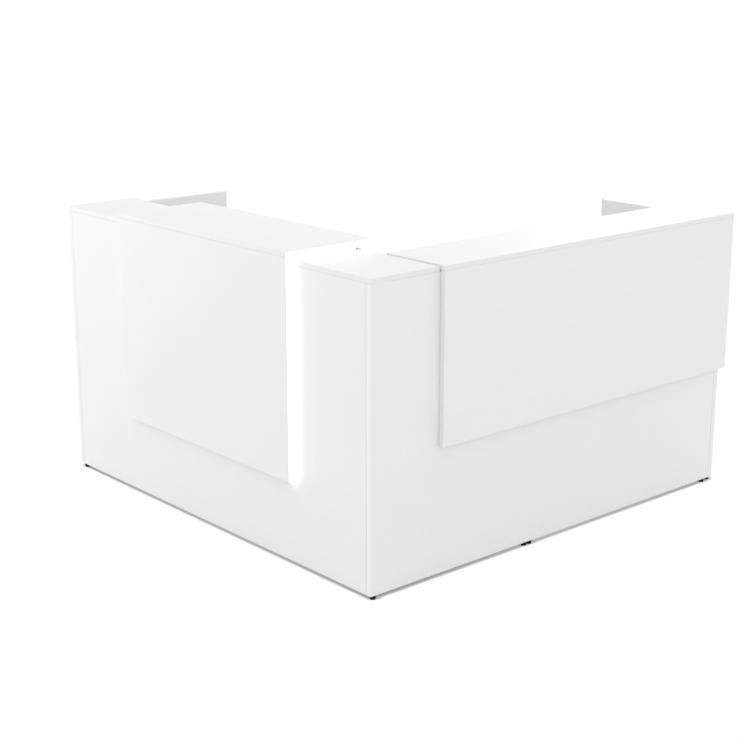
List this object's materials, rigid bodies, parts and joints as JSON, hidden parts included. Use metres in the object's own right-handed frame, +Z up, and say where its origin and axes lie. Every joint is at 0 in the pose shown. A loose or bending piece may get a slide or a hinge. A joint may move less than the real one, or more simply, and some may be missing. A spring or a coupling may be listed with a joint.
{
  "type": "reception desk",
  "caption": "L-shaped white board reception desk with a raised counter, a lit hood over one wing, an unlit hood over the other, worktops behind and levelling feet.",
  "frame": {"origin": "middle of the desk's plan on the floor under the feet", "axes": "+Z up; +X along the right wing, away from the outer corner; +Y along the left wing, away from the outer corner. The right wing's front faces -Y and the left wing's front faces -X"},
  "size_m": [1.911, 1.891, 1.14],
  "materials": {
    "white_board": "white melamine facing on chipboard with a fine satin line texture and white edge bands",
    "white_foil": "white foil on hidden battens and spacers",
    "anodised_aluminium": "clear anodised extrusion",
    "lamp_strip": "white flexible circuit with yellow lamp dots",
    "opal_diffuser": "opal cover, lit cool white",
    "zinc_steel": "zinc plated",
    "grey_plastic": "fine moulded grain",
    "black_plastic": "black moulded plastic",
    "white_cable": "soft white cable sheath"
  },
  "bodies": {
    "desk": {"left_front_panel": "white_board", "left_gable": "white_board", "corner_gable": "white_board", "extension_front_panel": "white_board", "right_gable": "white_board", "counter_top": "white_board", "left_rear_rail": "white_board", "right_rear_rail": "white_board", "left_worktop": "white_board", "extension_worktop": "white_board", "left_gable_cleat": "white_foil", "corner_gable_cleat": "white_foil", "left_front_cleat": "white_foil", "extension_front_cleat": "white_foil", "right_gable_cleat": "white_foil", "worktop_plate_front": "zinc_steel", "worktop_plate_rear": "zinc_steel", "module_plate_lower": "zinc_steel", "module_plate_upper": "zinc_steel", "left_grommet_ring": "grey_plastic", "extension_grommet_ring": "grey_plastic", "left_hood_front": "white_board", "left_hood_top": "white_board", "hood_front_batten_right": "white_foil", "hood_front_batten_left": "white_foil", "hood_top_batten_right": "white_foil", "hood_top_batten_left": "white_foil", "right_hood_front": "white_board", "right_hood_top": "white_board", "right_hood_spacer_left": "white_foil", "right_hood_spacer_right": "white_foil", "right_hood_top_spacer_front": "white_foil", "right_hood_top_spacer_rear": "white_foil", "light_front_right_channel": "anodised_aluminium", "light_front_right_strip": "lamp_strip", "light_front_right_diffuser": "opal_diffuser", "light_top_right_channel": "anodised_aluminium", "light_top_right_strip": "lamp_strip", "light_top_right_diffuser": "opal_diffuser", "light_front_left_channel": "anodised_aluminium", "light_front_left_strip": "lamp_strip", "light_front_left_diffuser": "opal_diffuser", "light_top_left_channel": "anodised_aluminium", "light_top_left_strip": "lamp_strip", "light_top_left_diffuser": "opal_diffuser", "light_driver": "grey_plastic", "light_lead_right": "white_cable", "light_lead_left": "white_cable"},
    "left_cap": {"left_grommet_cap": "grey_plastic"},
    "extension_cap": {"extension_grommet_cap": "grey_plastic"},
    "light_switch": {"light_switch_rocker": "black_plastic"},
    "left_front_foot": {"foot_left_front": "black_plastic"},
    "left_rear_foot": {"foot_left_rear": "black_plastic"},
    "corner_foot": {"foot_corner": "black_plastic"},
    "corner_rear_foot": {"foot_corner_rear": "black_plastic"},
    "extension_start_foot": {"foot_extension_start": "black_plastic"},
    "extension_end_foot": {"foot_extension_end": "black_plastic"},
    "right_front_foot": {"foot_right_front": "black_plastic"},
    "right_rear_foot": {"foot_right_rear": "black_plastic"}
  },
  "joints": [
    {"name": "left_cap_turn", "type": "hinge", "parent": "desk", "child": "left_cap", "pos_m": [-0.7975, 0.0115, 0.738], "axis": [0, 0, 1], "continuous": true},
    {"name": "extension_cap_turn", "type": "hinge", "parent": "desk", "child": "extension_cap", "pos_m": [0.3835, -0.7945, 0.738], "axis": [0, 0, 1], "continuous": true},
    {"name": "light_switch_rock", "type": "hinge", "parent": "desk", "child": "light_switch", "pos_m": [-0.8745, 0.0445, 0.59], "axis": [0, -1, 0], "range_deg": [0, 14]},
    {"name": "left_front_foot_travel", "type": "slide", "parent": "desk", "child": "left_front_foot", "axis": [0, 0, -1], "range_m": [0, 0.012]},
    {"name": "left_rear_foot_travel", "type": "slide", "parent": "desk", "child": "left_rear_foot", "axis": [0, 0, -1], "range_m": [0, 0.012]},
    {"name": "corner_foot_travel", "type": "slide", "parent": "desk", "child": "corner_foot", "axis": [0, 0, -1], "range_m": [0, 0.012]},
    {"name": "corner_rear_foot_travel", "type": "slide", "parent": "desk", "child": "corner_rear_foot", "axis": [0, 0, -1], "range_m": [0, 0.012]},
    {"name": "extension_start_foot_travel", "type": "slide", "parent": "desk", "child": "extension_start_foot", "axis": [0, 0, -1], "range_m": [0, 0.012]},
    {"name": "extension_end_foot_travel", "type": "slide", "parent": "desk", "child": "extension_end_foot", "axis": [0, 0, -1], "range_m": [0, 0.012]},
    {"name": "right_front_foot_travel", "type": "slide", "parent": "desk", "child": "right_front_foot", "axis": [0, 0, -1], "range_m": [0, 0.012]},
    {"name": "right_rear_foot_travel", "type": "slide", "parent": "desk", "child": "right_rear_foot", "axis": [0, 0, -1], "range_m": [0, 0.012]}
  ]
}
